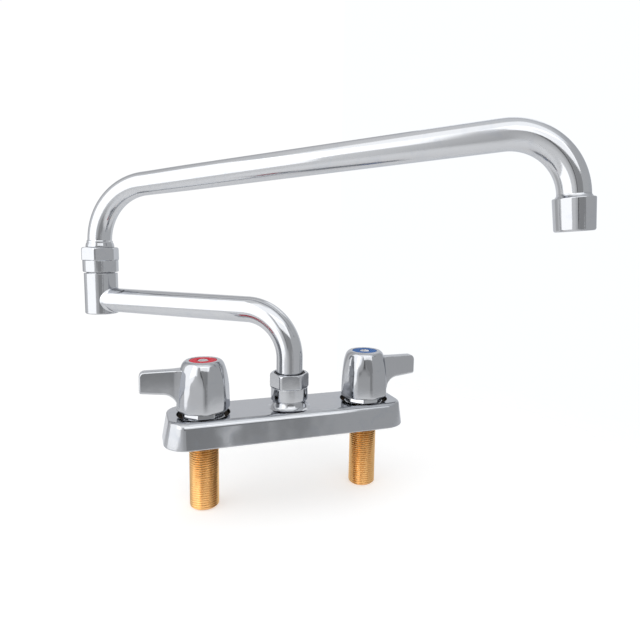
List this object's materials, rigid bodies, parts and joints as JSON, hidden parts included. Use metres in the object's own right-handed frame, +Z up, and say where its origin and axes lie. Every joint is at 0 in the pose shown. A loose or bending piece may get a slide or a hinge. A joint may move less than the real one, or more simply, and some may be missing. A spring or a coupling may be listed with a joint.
{
  "type": "deck-mount faucet",
  "caption": "Chrome deck-mount mixing faucet with lever handles, red and blue index rings and a double-jointed swing spout.",
  "frame": {"origin": "on the deck, under the middle of the deck body", "axes": "+X along the deck body from the hot to the cold valve, +Y away from the user, +Z up out of the deck"},
  "size_m": [0.2708, 0.1861, 0.2273],
  "materials": {
    "chrome": "polished",
    "brass": "machined, unplated",
    "rubber": "moulded, matt",
    "ceramic": "lapped",
    "steel": "turned",
    "nylon": "moulded",
    "hot_red": "moulded, glossy",
    "cold_blue": "moulded, glossy"
  },
  "bodies": {
    "base": {"deck_body": "chrome", "waterway": "brass", "spout_nut": "chrome", "spout_dust_ring": "rubber", "hot_inlet_shank": "brass", "cold_inlet_shank": "brass", "hot_valve_body": "brass", "cold_valve_body": "brass", "hot_bonnet": "chrome", "cold_bonnet": "chrome", "hot_fixed_disc": "ceramic", "cold_fixed_disc": "ceramic", "hot_seat_seal": "rubber", "cold_seat_seal": "rubber", "hot_body_seal": "rubber", "cold_body_seal": "rubber"},
    "lower_arm": {"lower_arm_tube": "chrome", "lower_end_bush": "brass", "lower_end_seals": "rubber", "lower_retainer": "nylon", "swivel_post": "chrome", "swivel_nut": "chrome"},
    "upper_spout": {"upper_spout_tube": "chrome", "upper_end_bush": "brass", "upper_end_seals": "rubber", "upper_retainer": "nylon", "swivel_collar": "chrome", "outlet_adapter": "chrome", "aerator_housing": "chrome", "aerator_washer": "rubber", "aerator_insert": "nylon", "aerator_screen": "steel"},
    "hot_lever": {"hot_handle": "chrome", "hot_index_ring": "hot_red", "hot_handle_screw": "steel", "hot_stem": "brass", "hot_moving_disc": "ceramic", "hot_stem_seal": "rubber", "hot_stem_clip": "steel"},
    "cold_lever": {"cold_handle": "chrome", "cold_index_ring": "cold_blue", "cold_handle_screw": "steel", "cold_stem": "brass", "cold_moving_disc": "ceramic", "cold_stem_seal": "rubber", "cold_stem_clip": "steel"}
  },
  "joints": [
    {"name": "spout_swivel", "type": "hinge", "parent": "base", "child": "lower_arm", "pos_m": [0, -0.003, 0.02], "axis": [0, 0, 1], "continuous": true},
    {"name": "arm_swivel", "type": "hinge", "parent": "lower_arm", "child": "upper_spout", "pos_m": [-0.10702, 0.0868, 0.0917], "axis": [0, 0, 1], "continuous": true},
    {"name": "hot_lever_turn", "type": "hinge", "parent": "base", "child": "hot_lever", "pos_m": [-0.0508, 0, 0.0176], "axis": [0, 0, 1], "range_deg": [0, 90]},
    {"name": "cold_lever_turn", "type": "hinge", "parent": "base", "child": "cold_lever", "pos_m": [0.0508, 0, 0.0176], "axis": [0, 0, 1], "range_deg": [-90, 0]}
  ]
}
